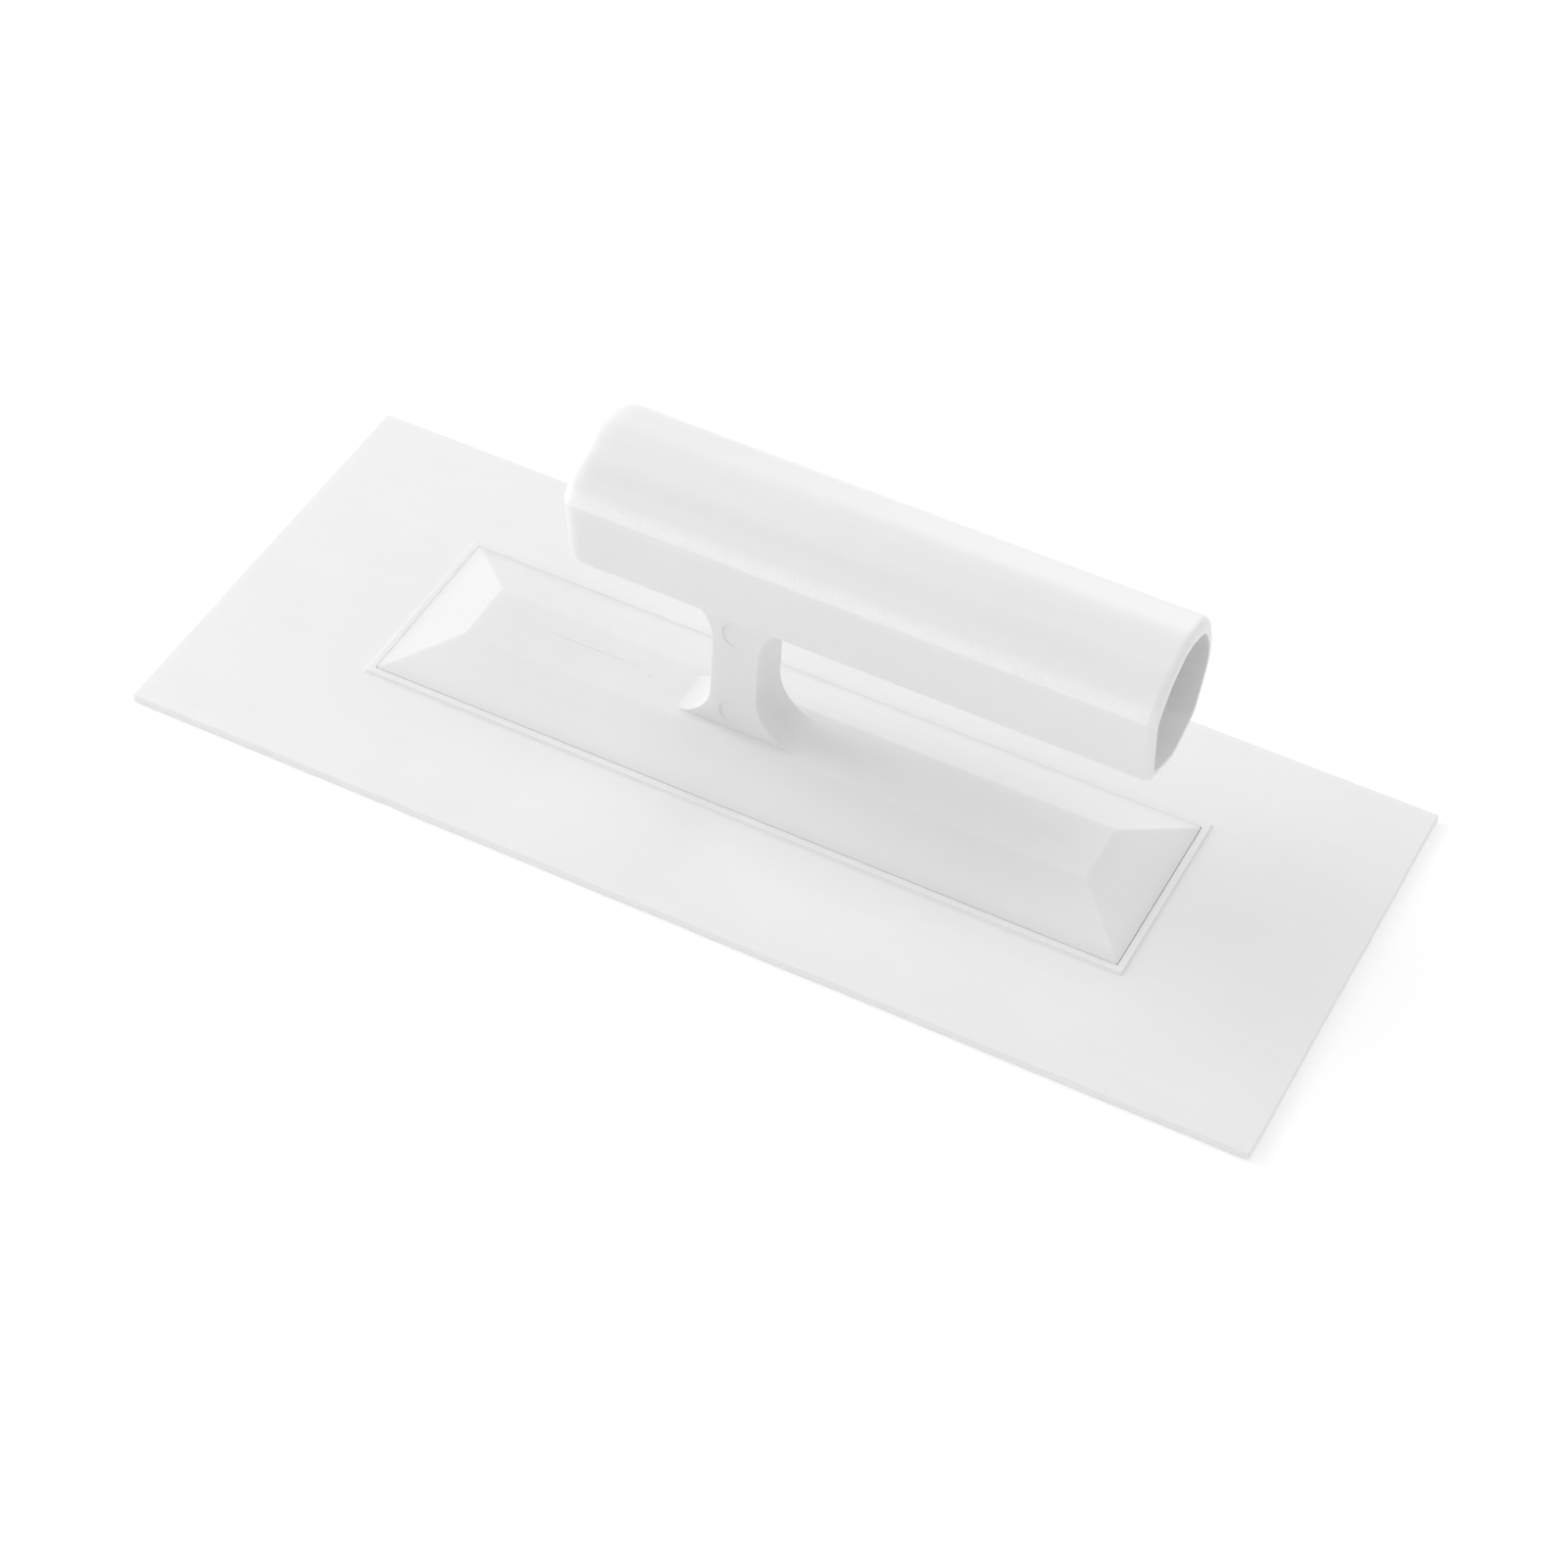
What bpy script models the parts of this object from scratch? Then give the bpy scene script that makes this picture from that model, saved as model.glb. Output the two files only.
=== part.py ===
"""Plastering float in white plastic: a flat blade and a hollow, one-piece moulded handle.

Units are metres. The origin is the middle of the blade's underside, +X runs along the blade,
+Y across it and +Z up towards the grip. The handle is modelled about its own datum, the middle
of its base, which stands a little off the middle of the blade.
"""
import math

import bmesh
import bpy
from mathutils import Vector

MM = 0.001
GAP = 0.3 * MM                      # clearance kept between neighbouring solids
OVERCUT = 2.0 * MM                  # how far a cutter runs past the face that it opens

# Blade: a thin sheet with square corners
BLADE_LENGTH = 280.0 * MM
BLADE_WIDTH = 115.0 * MM
BLADE_THICKNESS = 2.3 * MM
BLADE_EDGE_BEVEL = 0.25 * MM

# Handle datum on the blade
HANDLE_X = -0.9 * MM
HANDLE_Y = 1.8 * MM

# Base of the handle: a low hipped roof, hollow and ribbed underneath
BASE_LENGTH = 189.2 * MM
BASE_WIDTH = 48.2 * MM
BASE_FLAT_LENGTH = 159.0 * MM
BASE_FLAT_WIDTH = 17.4 * MM
BASE_TOP = 8.4 * MM                 # height of the roof's flat top above the underside
BASE_FOOT = BLADE_THICKNESS + GAP   # height of the land that rests on the blade
BASE_EAVES = BASE_FOOT + 0.3 * MM   # height where the upright edge turns into the slope
BASE_WALL = 2.0 * MM
RIB_THICKNESS = 1.6 * MM
CROSS_RIB_PITCH = 30.0 * MM
CROSS_RIB_COUNT = 5

# Joint between handle and blade: a low rim round the base, and a groove for adhesive under it
RIM_CLEARANCE = 0.4 * MM
RIM_WIDTH = 1.8 * MM
RIM_HEIGHT = 0.6 * MM
GROOVE_SETBACK = 1.0 * MM           # from the base's outer edge to the groove
GROOVE_WIDTH = 3.0 * MM
GROOVE_DEPTH = 1.0 * MM
RIB_BOND_THICKNESS = 0.4 * MM
RIB_BOND_WIDTH = 3.0 * MM
RIB_BOND_SETBACK = 0.6 * MM         # how far it stops short of the base's wall

# Post: a web of even depth between base and grip, which flares along X at its foot and head
POST_LEFT = -16.9 * MM              # from the handle datum
POST_RIGHT = -4.85 * MM
POST_DEPTH = 12.3 * MM              # along Y
POST_FOOT_RADIUS_LEFT = 10.0 * MM
POST_FOOT_RADIUS_RIGHT = 12.0 * MM
POST_HEAD_RADIUS = 12.6 * MM
POST_FOOT = BASE_TOP - 1.0 * MM     # the foot ends inside the base's wall
POST_FOOT_LEVEL = BASE_TOP - 0.2 * MM   # where the foot's flare turns level
POST_HEAD_LEVEL = 46.0 * MM         # where the head's flare turns level
POST_HEAD = 50.0 * MM               # the head ends inside the bore, which then cuts it off
POST_STEPS = 7

# Grip: a tube closed at its left end. Corners of its section as distance behind the middle plane,
# height, and corner radius, clockwise from the crown as seen from +X.
GRIP_LEFT = -52.5 * MM              # from the handle datum
GRIP_RIGHT = 92.1 * MM
GRIP_SECTION = (
    (0.0, 80.7 * MM, 12.0 * MM),            # crown
    (13.2 * MM, 77.5 * MM, 8.0 * MM),       # back shoulder
    (17.0 * MM, 68.0 * MM, 9.0 * MM),
    (17.7 * MM, 61.4 * MM, 12.0 * MM),      # widest point
    (12.9 * MM, 48.3 * MM, 5.0 * MM),       # back keel
    (0.0, 43.6 * MM, 6.0 * MM),             # bottom
    (-13.2 * MM, 48.5 * MM, 3.5 * MM),      # front keel, at the foot of the front plane
    (-16.6 * MM, 68.2 * MM, 1.4 * MM),      # edge along the front
    (-11.2 * MM, 76.6 * MM, 12.0 * MM),     # front shoulder
)
GRIP_ARC_STEPS = 5

# Bore of the grip, stated in the same way
BORE_SECTION = (
    (0.0, 78.1 * MM, 9.3 * MM),
    (9.4 * MM, 75.0 * MM, 11.3 * MM),
    (14.0 * MM, 67.3 * MM, 0.8 * MM),
    (14.9 * MM, 61.7 * MM, 3.3 * MM),
    (10.8 * MM, 50.4 * MM, 1.3 * MM),
    (0.0, 46.5 * MM, 3.3 * MM),
    (-11.1 * MM, 50.5 * MM, 0.8 * MM),
    (-14.0 * MM, 67.3 * MM, 0.8 * MM),
    (-9.4 * MM, 75.0 * MM, 11.3 * MM),
)
BORE_LEFT = GRIP_LEFT + 4.5 * MM

# Ends of the grip
GRIP_END_LENGTH = 9.0 * MM          # length over which the closed end rounds off
GRIP_END_POWER = 4.0                # how square that rounding is
GRIP_END_HEIGHT = 65.8 * MM         # height of the middle of the closed end
GRIP_END_RINGS = 8
GRIP_END_FACE = 0.35                # size of the flat left in the middle of the closed end
GRIP_RIM_RADIUS = 2.0 * MM
GRIP_RIM_RINGS = 4

SMOOTH_ANGLE = math.radians(32)


def clear_scene():
    """Remove every object that the file holds."""
    for old in list(bpy.data.objects):
        bpy.data.objects.remove(old, do_unlink=True)


def plastic(name, colour, roughness):
    """A plain Principled plastic."""
    material = bpy.data.materials.new(name)
    material.use_nodes = True
    shader = material.node_tree.nodes["Principled BSDF"]
    shader.inputs["Base Color"].default_value = (*colour, 1.0)
    shader.inputs["Roughness"].default_value = roughness
    shader.inputs["Metallic"].default_value = 0.0
    material.diffuse_color = (*colour, 1.0)
    return material


def add_object(name, work, parent=None):
    """Turn a bmesh into a named object, with its faces pointing out."""
    bmesh.ops.recalc_face_normals(work, faces=work.faces)
    mesh = bpy.data.meshes.new(name)
    work.to_mesh(mesh)
    work.free()
    thing = bpy.data.objects.new(name, mesh)
    bpy.context.collection.objects.link(thing)
    thing.parent = parent
    return thing


def finish_piece(thing, material):
    """Give a piece its material and smooth shading on its round faces."""
    thing.data.materials.append(material)
    thing.data.shade_smooth()
    thing.data.set_sharp_from_angle(angle=SMOOTH_ANGLE)


def combine(target, tool, operation):
    """Join the tool to the target, or cut it away, with a live Boolean; the tool is hidden."""
    modifier = target.modifiers.new(f"{operation.lower()}_{tool.name}", "BOOLEAN")
    modifier.operation = operation
    modifier.solver = "EXACT"
    modifier.object = tool
    tool.hide_render = True
    tool.display_type = "WIRE"


def box(name, length, width, low, high, centre=(0.0, 0.0), parent=None):
    """An upright box from height low to height high."""
    work = bmesh.new()
    bmesh.ops.create_cube(work, size=1.0)
    bmesh.ops.scale(work, vec=(length, width, high - low), verts=work.verts)
    bmesh.ops.translate(work, vec=(centre[0], centre[1], (low + high) / 2), verts=work.verts)
    return add_object(name, work, parent)


def loft(name, rings, parent=None):
    """A closed solid through rings with the same number of points, with a face at each end."""
    work = bmesh.new()
    loops = [[work.verts.new(point) for point in ring] for ring in rings]
    for first, second in zip(loops, loops[1:]):
        count = len(first)
        for i in range(count):
            work.faces.new((first[i], first[(i + 1) % count], second[(i + 1) % count], second[i]))
    work.faces.new(loops[0])
    work.faces.new(loops[-1])
    return add_object(name, work, parent)


def rectangle(half_length, half_width, height, centre_x=0.0):
    """Four corners of a level rectangle."""
    signs = ((-1, -1), (1, -1), (1, 1), (-1, 1))
    return [(centre_x + sx * half_length, sy * half_width, height) for sx, sy in signs]


def rectangular_ring(name, outer_length, outer_width, ring_width, low, high, parent=None):
    """A picture-frame ring with square corners."""
    half_x, half_y = outer_length / 2, outer_width / 2
    work = bmesh.new()
    levels = []
    for height in (low, high):
        outer = [work.verts.new(p) for p in rectangle(half_x, half_y, height)]
        inner = [work.verts.new(p) for p in rectangle(half_x - ring_width, half_y - ring_width, height)]
        levels.append((outer, inner))
    (low_outer, low_inner), (high_outer, high_inner) = levels
    for i in range(4):
        j = (i + 1) % 4
        work.faces.new((low_outer[i], low_outer[j], high_outer[j], high_outer[i]))
        work.faces.new((low_inner[j], low_inner[i], high_inner[i], high_inner[j]))
        work.faces.new((low_outer[j], low_outer[i], low_inner[i], low_inner[j]))
        work.faces.new((high_outer[i], high_outer[j], high_inner[j], high_inner[i]))
    return add_object(name, work, parent)


def roof_half_size(full, flat, height, inset=0.0):
    """Half the roof's size at a height, on faces moved inwards by inset."""
    slope = math.atan2(BASE_TOP - BASE_EAVES, (full - flat) / 2)
    return full / 2 - (height - BASE_EAVES) / math.tan(slope) - inset / math.sin(slope)


def roof_ring(height, inset=0.0, level=None):
    """The roof's outline at a height, drawn at that height or at another level."""
    half_length = roof_half_size(BASE_LENGTH, BASE_FLAT_LENGTH, height, inset)
    half_width = roof_half_size(BASE_WIDTH, BASE_FLAT_WIDTH, height, inset)
    return rectangle(half_length, half_width, height if level is None else level)


def make_base_body(parent):
    """The solid roof shape of the base, with a short upright edge at its foot."""
    rings = [roof_ring(BASE_EAVES, level=BASE_FOOT), roof_ring(BASE_EAVES), roof_ring(BASE_TOP)]
    return loft("handle", rings, parent)


def inset_corners(corners, inset):
    """Move a convex outline's sides inwards; each corner's radius shrinks with it."""
    moved = []
    count = len(corners)
    for i, (y, z, radius) in enumerate(corners):
        here = Vector((y, z))
        before = (here - Vector(corners[i - 1][:2])).normalized()
        after = (Vector(corners[(i + 1) % count][:2]) - here).normalized()
        normal_before = Vector((before.y, -before.x))
        normal_after = Vector((after.y, -after.x))
        bisector = (normal_before + normal_after).normalized()
        place = here + bisector * (inset / bisector.dot(normal_before))
        moved.append((place.x, place.y, max(radius - inset, 0.8 * MM)))
    return moved


def rounded_outline(corners, steps):
    """Points round a closed outline whose corners are arcs of the stated radii."""
    points = []
    count = len(corners)
    for i, (y, z, radius) in enumerate(corners):
        here = Vector((y, z))
        to_before = Vector(corners[i - 1][:2]) - here
        to_after = Vector(corners[(i + 1) % count][:2]) - here
        room = min(to_before.length, to_after.length) / 2
        to_before.normalize()
        to_after.normalize()
        half_angle = to_before.angle(to_after) / 2
        reach = min(radius / math.tan(half_angle), room)
        arc_radius = reach * math.tan(half_angle)
        centre = here + (to_before + to_after).normalized() * (arc_radius / math.sin(half_angle))
        start = here + to_before * reach - centre
        end = here + to_after * reach - centre
        for step in range(steps + 1):
            share = step / steps
            arm = (start * (1 - share) + end * share).normalized() * arc_radius
            points.append(centre + arm)
    return points


def ring_at(outline, x):
    """Place a section outline at the distance x along the grip."""
    return [(x, point.x, point.y) for point in outline]


def shrunk(outline, scale):
    """Scale an outline about the middle of the grip's closed end."""
    middle = Vector((0.0, GRIP_END_HEIGHT))
    return [middle + (point - middle) * scale for point in outline]


def make_grip_body(parent):
    """The grip's outer shape: rounded closed end, straight tube, rounded rim."""
    outline = rounded_outline(GRIP_SECTION, GRIP_ARC_STEPS)
    rings = []
    for step in range(GRIP_END_RINGS + 1):
        angle = math.radians(90) * step / GRIP_END_RINGS
        along = math.cos(angle) ** (2 / GRIP_END_POWER)
        scale = math.sin(angle) ** (2 / GRIP_END_POWER)
        if scale < GRIP_END_FACE:
            continue
        rings.append(ring_at(shrunk(outline, scale), GRIP_LEFT + GRIP_END_LENGTH * (1 - along)))
    for step in range(GRIP_RIM_RINGS + 1):
        angle = math.radians(90) * step / GRIP_RIM_RINGS
        inset = GRIP_RIM_RADIUS * (1 - math.cos(angle))
        x = GRIP_RIGHT - GRIP_RIM_RADIUS * (1 - math.sin(angle))
        rings.append(ring_at(rounded_outline(inset_corners(GRIP_SECTION, inset), GRIP_ARC_STEPS), x))
    return loft("grip_body", rings, parent)


def make_bore(parent):
    """The hollow inside the grip, open at its right end."""
    outline = rounded_outline(BORE_SECTION, GRIP_ARC_STEPS)
    rings = []
    for x, scale in ((BORE_LEFT, 0.75), (BORE_LEFT + 1.2 * MM, 0.92), (BORE_LEFT + 4 * MM, 1.0)):
        rings.append(ring_at(shrunk(outline, scale), x))
    rings.append(ring_at(outline, GRIP_RIGHT + OVERCUT))
    return loft("grip_bore", rings, parent)


def flare(radius, rise):
    """How far a flare of this radius stands out, at a distance back from where it turns level."""
    if rise >= radius:
        return 0.0
    return radius - math.sqrt(radius ** 2 - (radius - rise) ** 2)


def make_post(parent):
    """The post: an outline in the XZ plane with a flared foot and head, of even depth along Y."""
    foot_top = POST_FOOT_LEVEL + max(POST_FOOT_RADIUS_LEFT, POST_FOOT_RADIUS_RIGHT)
    head_low = POST_HEAD_LEVEL - POST_HEAD_RADIUS
    turns = [1 - math.cos(math.radians(90) * step / POST_STEPS) for step in range(POST_STEPS + 1)]
    heights = [POST_FOOT]
    heights += [POST_FOOT_LEVEL + (foot_top - POST_FOOT_LEVEL) * turn for turn in turns]
    heights += [POST_HEAD_LEVEL - (POST_HEAD_LEVEL - head_low) * turn for turn in reversed(turns)]
    heights.append(POST_HEAD)
    rings = []
    for height in heights:
        foot_rise = max(height - POST_FOOT_LEVEL, 0.0)
        head = flare(POST_HEAD_RADIUS, max(POST_HEAD_LEVEL - height, 0.0))
        left = POST_LEFT - flare(POST_FOOT_RADIUS_LEFT, foot_rise) - head
        right = POST_RIGHT + flare(POST_FOOT_RADIUS_RIGHT, foot_rise) + head
        rings.append(rectangle((right - left) / 2, POST_DEPTH / 2, height, (left + right) / 2))
    return loft("post_body", rings, parent)


def cross_rib_places():
    """Distances of the cross ribs along the base."""
    first = -(CROSS_RIB_COUNT - 1) / 2
    return [(first + i) * CROSS_RIB_PITCH for i in range(CROSS_RIB_COUNT)]


def make_base_pockets(parent, rib_floor):
    """The hollow under the base, less the ribs that stand in it."""
    mouth = roof_ring(BASE_FOOT, BASE_WALL, level=BASE_FOOT - OVERCUT)
    rings = [mouth, roof_ring(BASE_FOOT, BASE_WALL), roof_ring(BASE_TOP - BASE_WALL, BASE_WALL)]
    pockets = loft("base_hollow", rings, parent)
    long_rib = box("rib_long", BASE_LENGTH, RIB_THICKNESS, rib_floor, BASE_TOP, parent=parent)
    combine(pockets, long_rib, "DIFFERENCE")
    for i, x in enumerate(cross_rib_places(), start=1):
        rib = box(f"rib_cross_{i}", RIB_THICKNESS, BASE_WIDTH, rib_floor, BASE_TOP, (x, 0.0), parent)
        combine(pockets, rib, "DIFFERENCE")
    return pockets


def make_handle(parent, material):
    """The whole handle: base, post and grip are one moulding."""
    rib_floor = BLADE_THICKNESS + 2 * GAP + RIB_BOND_THICKNESS
    handle = make_base_body(parent)
    combine(handle, make_base_pockets(parent, rib_floor), "DIFFERENCE")
    combine(handle, make_post(parent), "UNION")
    combine(handle, make_grip_body(parent), "UNION")
    combine(handle, make_bore(parent), "DIFFERENCE")
    finish_piece(handle, material)
    return handle


def make_blade(datum, material):
    """The blade, with its rim round the handle's base and the adhesive groove inside that."""
    work = bmesh.new()
    bmesh.ops.create_cube(work, size=1.0)
    bmesh.ops.scale(work, vec=(BLADE_LENGTH, BLADE_WIDTH, BLADE_THICKNESS), verts=work.verts)
    bmesh.ops.translate(work, vec=(0, 0, BLADE_THICKNESS / 2), verts=work.verts)
    bmesh.ops.bevel(
        work, geom=work.edges[:], offset=BLADE_EDGE_BEVEL, segments=2, profile=0.5, affect="EDGES")
    blade = add_object("blade", work)
    rim_length = BASE_LENGTH + 2 * (RIM_CLEARANCE + RIM_WIDTH)
    rim_width = BASE_WIDTH + 2 * (RIM_CLEARANCE + RIM_WIDTH)
    rim = rectangular_ring(
        "rim_body", rim_length, rim_width, RIM_WIDTH,
        BLADE_THICKNESS / 2, BLADE_THICKNESS + RIM_HEIGHT, datum)
    groove = rectangular_ring(
        "bond_groove", BASE_LENGTH - 2 * GROOVE_SETBACK, BASE_WIDTH - 2 * GROOVE_SETBACK, GROOVE_WIDTH,
        BLADE_THICKNESS - GROOVE_DEPTH, BLADE_THICKNESS + OVERCUT, datum)
    combine(blade, rim, "UNION")
    combine(blade, groove, "DIFFERENCE")
    finish_piece(blade, material)
    return blade


def make_perimeter_bond(datum, material):
    """The bead of adhesive in the groove, under the land of the base."""
    setback = GROOVE_SETBACK + GAP
    bond = rectangular_ring(
        "perimeter_bond", BASE_LENGTH - 2 * setback, BASE_WIDTH - 2 * setback, GROOVE_WIDTH - 2 * GAP,
        BLADE_THICKNESS - GROOVE_DEPTH + GAP, BLADE_THICKNESS, datum)
    finish_piece(bond, material)


def make_rib_bond(datum, material):
    """The ladder of adhesive between the ribs' feet and the blade."""
    low = BLADE_THICKNESS + GAP
    high = low + RIB_BOND_THICKNESS
    half_length = roof_half_size(BASE_LENGTH, BASE_FLAT_LENGTH, high, BASE_WALL) - RIB_BOND_SETBACK
    half_width = roof_half_size(BASE_WIDTH, BASE_FLAT_WIDTH, high, BASE_WALL) - RIB_BOND_SETBACK
    bond = box("rib_bond", 2 * half_length, RIB_BOND_WIDTH, low, high, parent=datum)
    for i, x in enumerate(cross_rib_places(), start=1):
        rung = box(f"rib_bond_rung_{i}", RIB_BOND_WIDTH, 2 * half_width, low, high, (x, 0.0), datum)
        combine(bond, rung, "UNION")
    finish_piece(bond, material)


def make_float():
    """Build the whole float."""
    clear_scene()
    datum = bpy.data.objects.new("handle_datum", None)
    bpy.context.collection.objects.link(datum)
    datum.location = (HANDLE_X, HANDLE_Y, 0.0)
    sheet = plastic("white_sheet", (0.84, 0.84, 0.84), 0.45)
    moulding = plastic("white_moulding", (0.86, 0.86, 0.86), 0.4)
    adhesive = plastic("clear_adhesive", (0.78, 0.76, 0.70), 0.3)
    make_blade(datum, sheet)
    make_handle(datum, moulding)
    make_perimeter_bond(datum, adhesive)
    make_rib_bond(datum, adhesive)


make_float()
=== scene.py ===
"""Looks of the white plastic plastering float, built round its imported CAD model. Units are metres."""
import math

import bmesh
import bpy
from mathutils import Matrix, Vector, noise


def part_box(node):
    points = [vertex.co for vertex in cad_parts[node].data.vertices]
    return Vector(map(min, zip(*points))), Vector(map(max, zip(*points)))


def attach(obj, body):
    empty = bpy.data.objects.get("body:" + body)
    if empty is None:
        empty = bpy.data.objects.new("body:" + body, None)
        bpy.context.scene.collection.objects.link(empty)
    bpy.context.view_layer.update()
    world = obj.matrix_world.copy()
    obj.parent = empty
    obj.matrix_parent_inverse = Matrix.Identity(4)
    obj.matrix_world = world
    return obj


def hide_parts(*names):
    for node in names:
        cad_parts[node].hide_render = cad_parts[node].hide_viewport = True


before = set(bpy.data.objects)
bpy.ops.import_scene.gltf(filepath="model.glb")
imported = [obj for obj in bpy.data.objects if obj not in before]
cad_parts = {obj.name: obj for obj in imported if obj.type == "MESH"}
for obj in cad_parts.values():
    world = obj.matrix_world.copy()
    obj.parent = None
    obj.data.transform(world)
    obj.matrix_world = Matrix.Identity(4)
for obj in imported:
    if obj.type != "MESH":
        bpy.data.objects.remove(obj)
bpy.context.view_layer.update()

MM = 0.001
BLADE_LOW, BLADE_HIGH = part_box("blade")
HANDLE_LOW, HANDLE_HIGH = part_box("handle")
OVERCUT = 2.0 * MM
SMOOTH_ANGLE = math.radians(26)
QUARTER = math.radians(90)

# Blade: the sheet, the rim round the handle's base, and the adhesive groove under the base's land
BLADE_THICKNESS = 2.3 * MM
BLADE_EDGE_RADIUS = 0.3 * MM
BLADE_CORNER_RADIUS = 0.5 * MM
BLADE_SIDE_POINTS = 90
BLADE_EDGE_WANDER = 0.22 * MM       # how far the trimmed edge strays inwards
NICK_X = -71.6 * MM                 # gate nick in the front edge
NICK_DEPTH = 0.35 * MM
NICK_WIDTH = 0.9 * MM
RIM_OUTSIDE = (2.2 * MM, 2.2 * MM, 2.2 * MM, 2.2 * MM)      # from the base: left, right, front, back
RIM_INSIDE = (0.08 * MM, 0.16 * MM, 0.06 * MM, 0.03 * MM)
RIM_SLOPE = 0.35 * MM               # how far the rim's outer side leans in
RIM_EDGE_RADIUS = 0.12 * MM
RIM_CORNER_RADIUS = 0.3 * MM
GROOVE_SETBACK = 1.0 * MM
GROOVE_WIDTH = 3.0 * MM
GROOVE_DEPTH = 1.0 * MM

# Base of the handle: a hipped roof, hollow and ribbed underneath
BASE_CENTRE = (HANDLE_LOW + HANDLE_HIGH) / 2
BASE_LENGTH = HANDLE_HIGH.x - HANDLE_LOW.x
BASE_WIDTH = HANDLE_HIGH.y - HANDLE_LOW.y
BASE_FOOT = HANDLE_LOW.z
BASE_EAVES = BASE_FOOT + 0.3 * MM
BASE_TOP = 8.4 * MM
BASE_FLAT_LENGTH = 159.0 * MM
BASE_FLAT_WIDTH = 17.4 * MM
BASE_HIP_RADIUS = 0.7 * MM
BASE_RIDGE_RADIUS = 2.4 * MM
BASE_WALL = 2.0 * MM
RIB_THICKNESS = 1.6 * MM
RIB_FOOT = 3.3 * MM
CROSS_RIB_PITCH = 30.0 * MM
CROSS_RIB_COUNT = 5

# Post, from the middle of the base
POST_LEFT = -16.9 * MM
POST_RIGHT = -4.85 * MM
POST_DEPTH = 12.3 * MM
POST_EDGE_RADIUS = 0.45 * MM
POST_FOOT_RADIUS_LEFT = 10.0 * MM
POST_FOOT_RADIUS_RIGHT = 12.0 * MM
POST_HEAD_RADIUS = 12.6 * MM
POST_FOOT_LEVEL = BASE_TOP - 0.12 * MM
POST_HEAD_LEVEL = 46.0 * MM
POST_HEAD = 50.0 * MM
POST_STEPS = 24

# Raised parting line on the base's flat top
PARTING_LEFT = -65.0 * MM
PARTING_RIGHT = -38.7 * MM
PARTING_Y = 1.9 * MM
PARTING_WIDTH = 0.9 * MM
PARTING_HEIGHT = 0.14 * MM          # at its front edge
PARTING_BACK_HEIGHT = 0.02 * MM

# Ejector marks in the post's front face: place from the base's middle, and height
EJECTOR_MARKS = ((-11.1 * MM, 37.8 * MM, 3.5 * MM), (-10.9 * MM, 13.6 * MM, 3.4 * MM))
EJECTOR_DEPTH = 0.4 * MM            # at the left edge of the mark
EJECTOR_MIDDLE = 0.2                # share of that depth at the middle of the mark

# Grip: corners of its section as distance behind the middle plane, height and radius, clockwise
# from the crown as seen from +X. Its back is rounder than its front, which is one plane.
GRIP_LEFT = -52.5 * MM
GRIP_RIGHT = 92.1 * MM
GRIP_RIM_RADIUS = 2.0 * MM
GRIP_SECTION = (
    (0.0, 80.7 * MM, 12.0 * MM),
    (13.2 * MM, 77.5 * MM, 8.0 * MM),
    (17.0 * MM, 68.0 * MM, 9.0 * MM),
    (17.7 * MM, 61.4 * MM, 12.0 * MM),
    (12.9 * MM, 48.3 * MM, 5.0 * MM),
    (0.0, 43.6 * MM, 6.0 * MM),
    (-13.2 * MM, 48.5 * MM, 3.5 * MM),
    (-16.6 * MM, 68.2 * MM, 1.2 * MM),
    (-10.0 * MM, 76.5 * MM, 14.0 * MM),
)
BORE_SECTION = (
    (0.0, 78.0 * MM, 9.3 * MM),
    (9.8 * MM, 75.2 * MM, 9.0 * MM),
    (14.4 * MM, 67.3 * MM, 9.0 * MM),
    (15.1 * MM, 61.2 * MM, 12.0 * MM),
    (11.0 * MM, 49.9 * MM, 6.0 * MM),
    (0.0, 46.3 * MM, 6.0 * MM),
    (-11.4 * MM, 50.3 * MM, 5.0 * MM),
    (-14.1 * MM, 67.4 * MM, 6.0 * MM),
    (-8.4 * MM, 74.4 * MM, 10.0 * MM),
)
GRIP_ARC_STEPS = 10
GRIP_RIM_RINGS = 8
GRIP_END_LENGTH = 9.0 * MM          # length over which the closed end rounds off
GRIP_END_POWER = 4.0                # how square that rounding is
GRIP_END_HEIGHT = 65.8 * MM         # height of the middle of the closed end
GRIP_END_RINGS = 28
GRIP_END_FACE = 0.3                 # size of the flat left in the middle of the closed end
BORE_LEFT = GRIP_LEFT + 4.5 * MM
BORE_LIP = 0.15 * MM                # tiny chamfer at the bore's mouth

# Painted highlight band on the facet above the grip's front edge, drawn as lighter colour on slightly
# smoother plastic: its foot and its direction, in Y and Z
PAINTED_HIGHLIGHT_FOOT = (BASE_CENTRE.y - 16.6 * MM, 68.2 * MM)
PAINTED_HIGHLIGHT_ACROSS = (0.622, 0.783)
PAINTED_HIGHLIGHT_WIDTH = 4.8 * MM
PAINTED_HIGHLIGHT_RISE = (-0.2 * MM, 0.8 * MM)        # where it fades in above the edge
PAINTED_HIGHLIGHT_REACH = (0.6 * MM, 1.2 * MM)        # how far off the facet it fades out
# Lighter colour of the painted highlight band
PAINTED_HIGHLIGHT_COLOUR = (0.96, 0.96, 0.96)

# Rare dark specks in the plastics
SPECK_SPACING = 22.0 * MM
SPECK_RADIUS = 0.28 * MM
SPECK_SHARE = 0.3
SPECK_COLOUR = (0.45, 0.45, 0.44)

# The two plastics: lightest and darkest colour of the mottling, and mean roughness
SHEET_LIGHT = (0.87, 0.87, 0.87)
SHEET_DARK = (0.855, 0.855, 0.855)
SHEET_ROUGHNESS = 0.45
MOULDING_LIGHT = (0.885, 0.885, 0.885)
MOULDING_DARK = (0.87, 0.87, 0.87)
MOULDING_ROUGHNESS = 0.34

# Fine texture of the moulded faces
BUMP_STRENGTH = 0.25
BUMP_DEPTH = 0.06 * MM

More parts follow.
